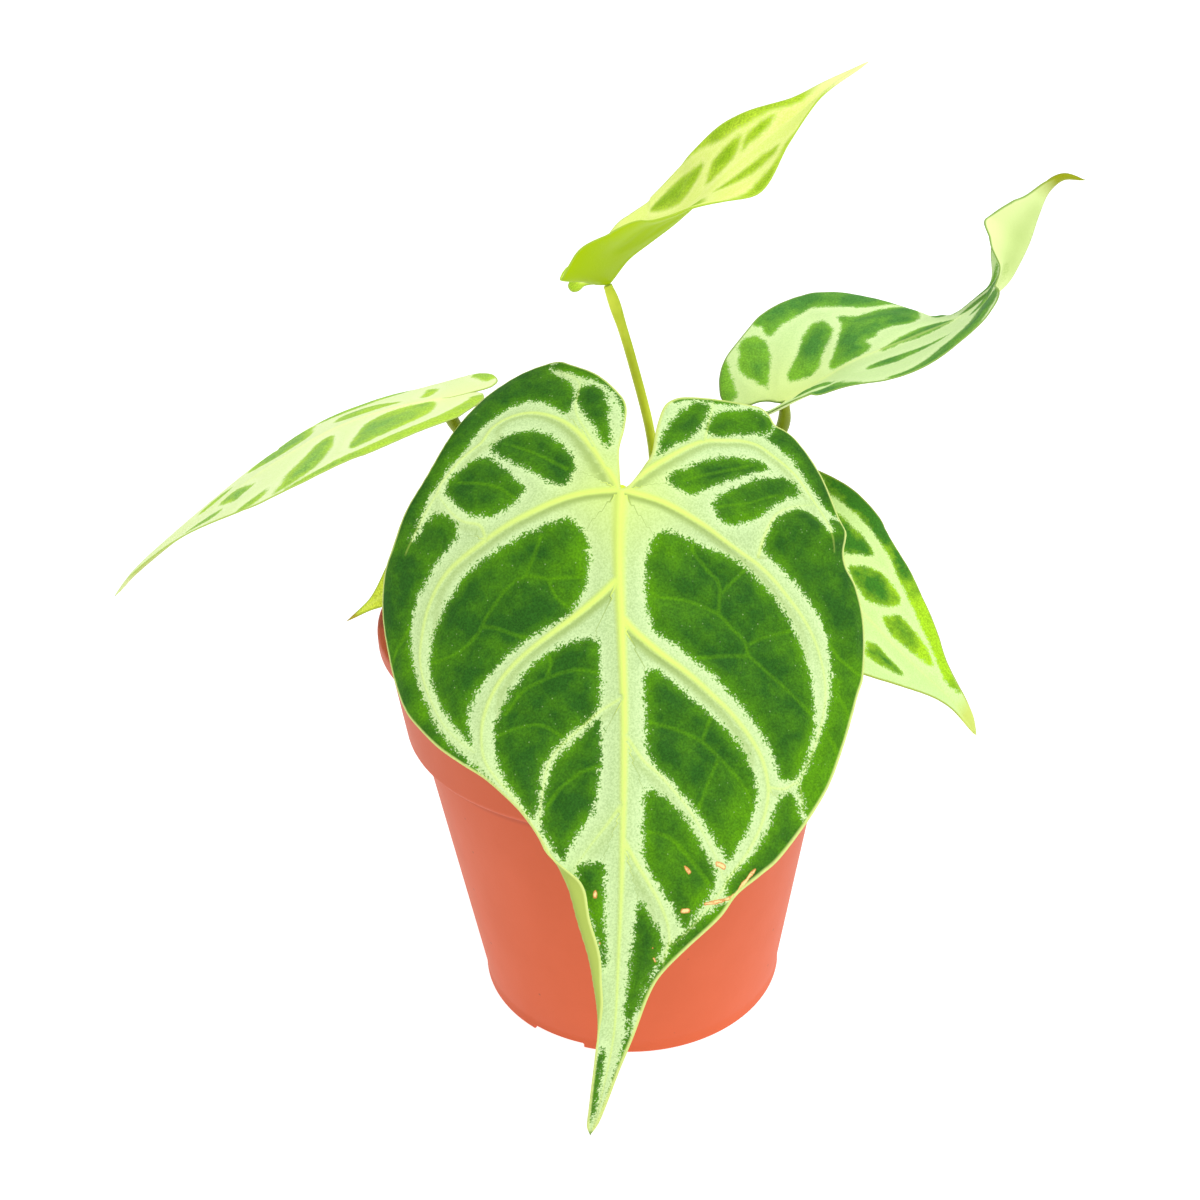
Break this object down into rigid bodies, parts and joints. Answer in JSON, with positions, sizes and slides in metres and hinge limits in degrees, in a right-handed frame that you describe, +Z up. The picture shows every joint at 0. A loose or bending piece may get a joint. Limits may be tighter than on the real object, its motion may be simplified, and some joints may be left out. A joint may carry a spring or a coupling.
{
  "type": "potted anthurium hybrid",
  "caption": "Velvet-leaved aroid with large heart-shaped, pale-veined leaves on slender petioles, growing from a short crown in a terracotta-coloured plastic nursery pot.",
  "frame": {"origin": "centre of the pot's foot, on the surface that the pot stands on", "axes": "+Z up along the pot's axis, -Y towards the viewer that the large front leaf faces, +X to that viewer's right"},
  "size_m": [0.2375, 0.1544, 0.2312],
  "materials": {
    "pot": "moulded, satin-matte, terracotta orange",
    "soil": "peat and bark potting mix, matte and crumbly",
    "crown": "green stem with dry sheaths, matte",
    "petiole": "living yellow-green stalk, satin",
    "velvet_blade": "velvety dark green between silver-green vein bands",
    "young_blade": "young yellow-green leaf, satin"
  },
  "bodies": {
    "root": {"pot": "pot", "soil": "soil", "crown": "crown", "petiole_front": "petiole", "blade_front": "velvet_blade", "petiole_top": "petiole", "blade_top": "young_blade", "petiole_right_up": "petiole", "blade_right_up": "velvet_blade", "petiole_left": "petiole", "blade_left": "velvet_blade", "petiole_right_low": "petiole", "blade_right_low": "velvet_blade", "petiole_small": "petiole", "blade_small": "young_blade"}
  },
  "joints": []
}
